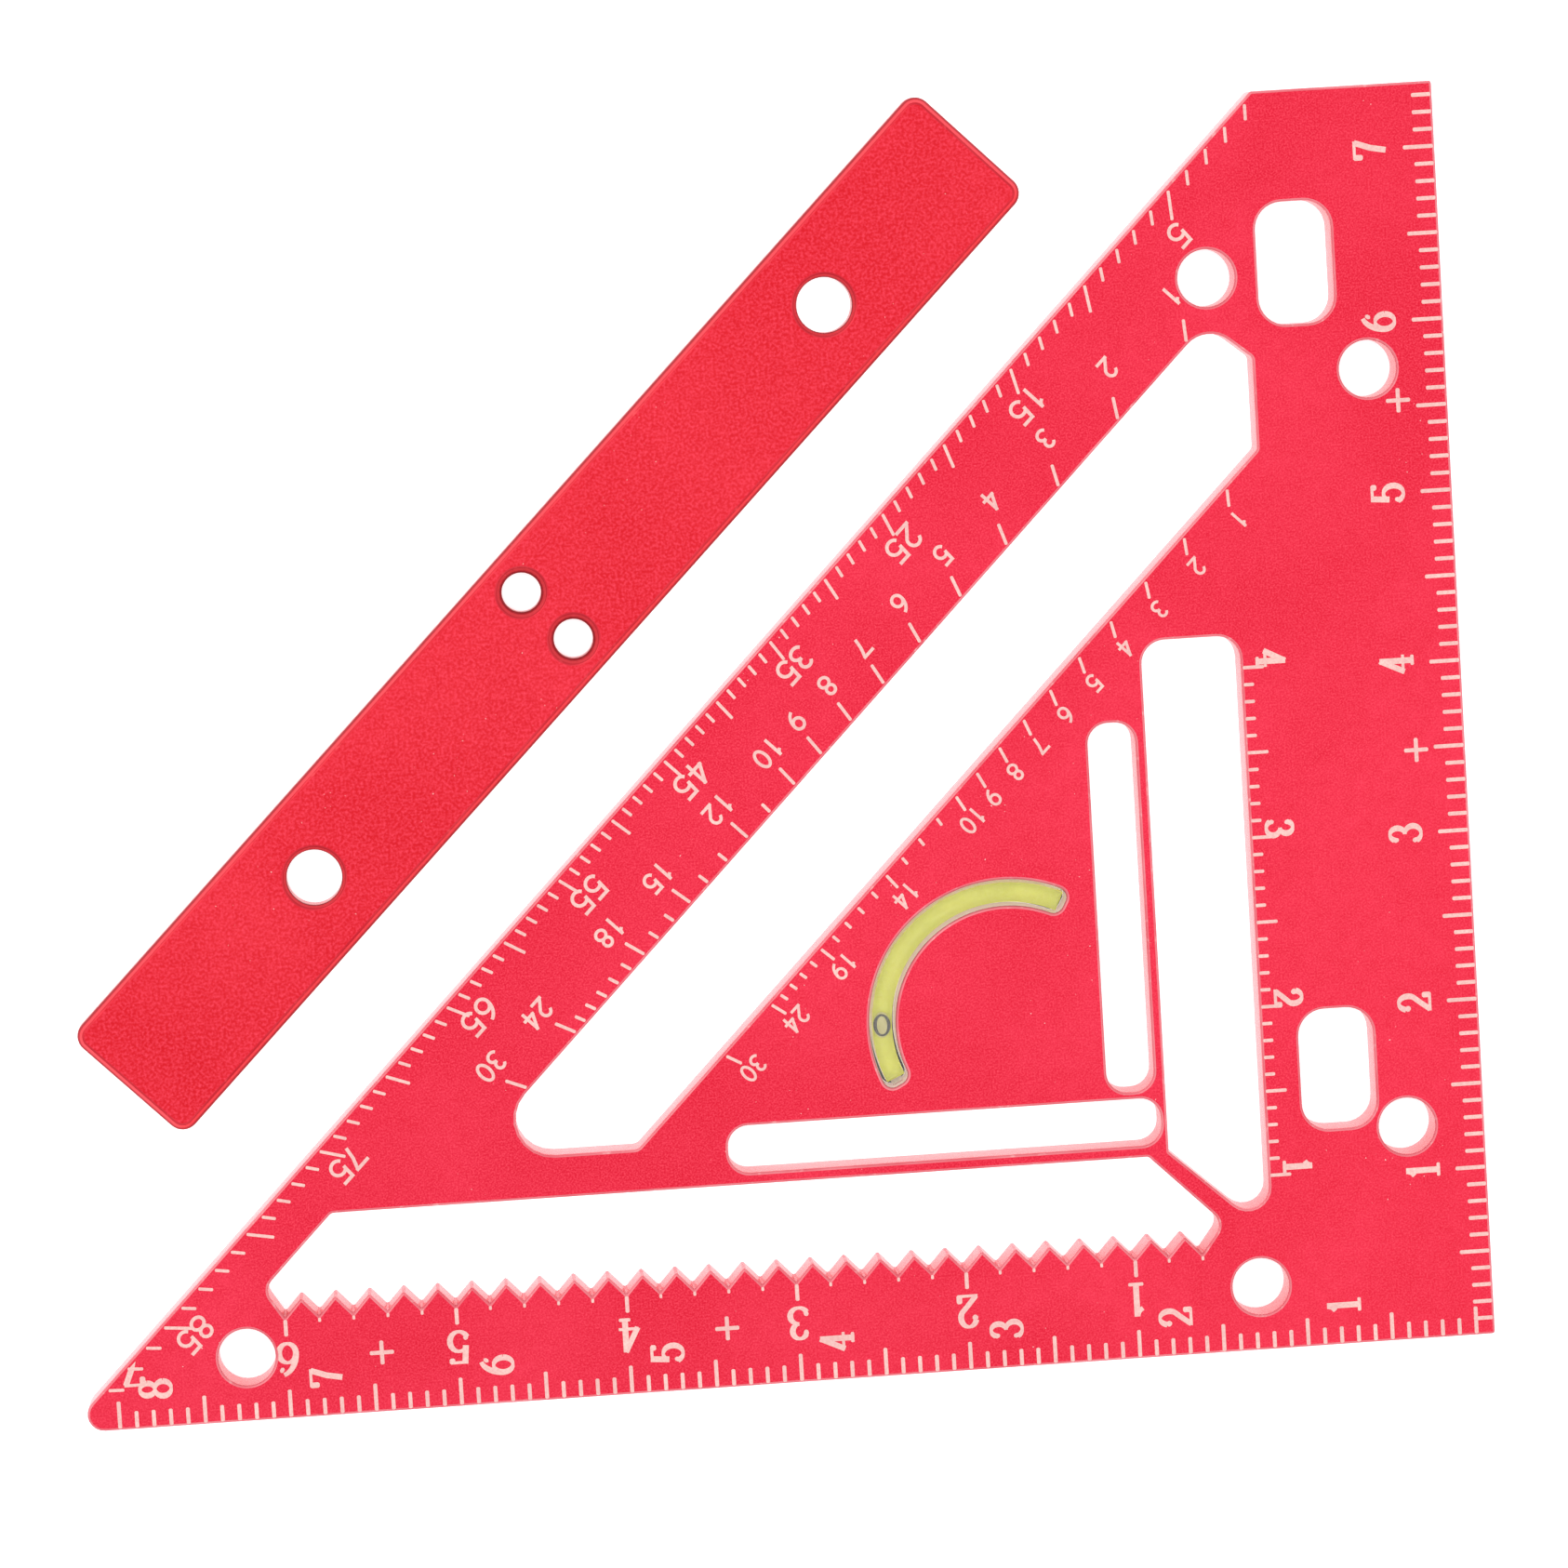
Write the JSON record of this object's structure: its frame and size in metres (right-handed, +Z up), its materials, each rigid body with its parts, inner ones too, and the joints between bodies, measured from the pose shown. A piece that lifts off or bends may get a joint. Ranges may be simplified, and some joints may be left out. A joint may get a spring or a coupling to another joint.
{
  "type": "speed square",
  "caption": "Triangular layout square with engraved inch and rafter scales, scribing slots, a curved spirit vial and a loose bolt-on fence bar.",
  "frame": {"origin": "centre of the footprint of plate and bar, on the surface they lie on", "axes": "+Z up through the plate; +X towards the heel edge that carries the fence; +Y up along that edge, away from the foot edge"},
  "size_m": [0.2108, 0.1896, 0.007],
  "materials": {
    "red_anodised": "fine-blasted, red anodised, lightly broken edges",
    "red_anodised_bar": "coarser blasted, red anodised, bevelled edges",
    "scale_marks": "laser-etched pale marks, matt",
    "clear_acrylic": "clear, polished",
    "lime_spirit": "clear yellow-green liquid",
    "bubble_air": "air bubble with a dark rim"
  },
  "bodies": {
    "square": {"plate": "red_anodised", "vial_body": "clear_acrylic", "vial_strip": "clear_acrylic", "vial_plug": "clear_acrylic", "vial_fluid": "lime_spirit"},
    "bubble": {"bubble": "bubble_air"},
    "fence": {"fence_bar": "red_anodised_bar"}
  },
  "joints": [
    {"name": "bubble_travel", "type": "hinge", "parent": "square", "child": "bubble", "pos_m": [0.03518, -0.04247, 0.004], "axis": [0, 0, 1], "range_deg": [-107, 17]},
    {"name": "fence_lift", "type": "slide", "parent": "square", "child": "fence", "axis": [0, 0, 1], "range_m": [0, 0.05]}
  ]
}
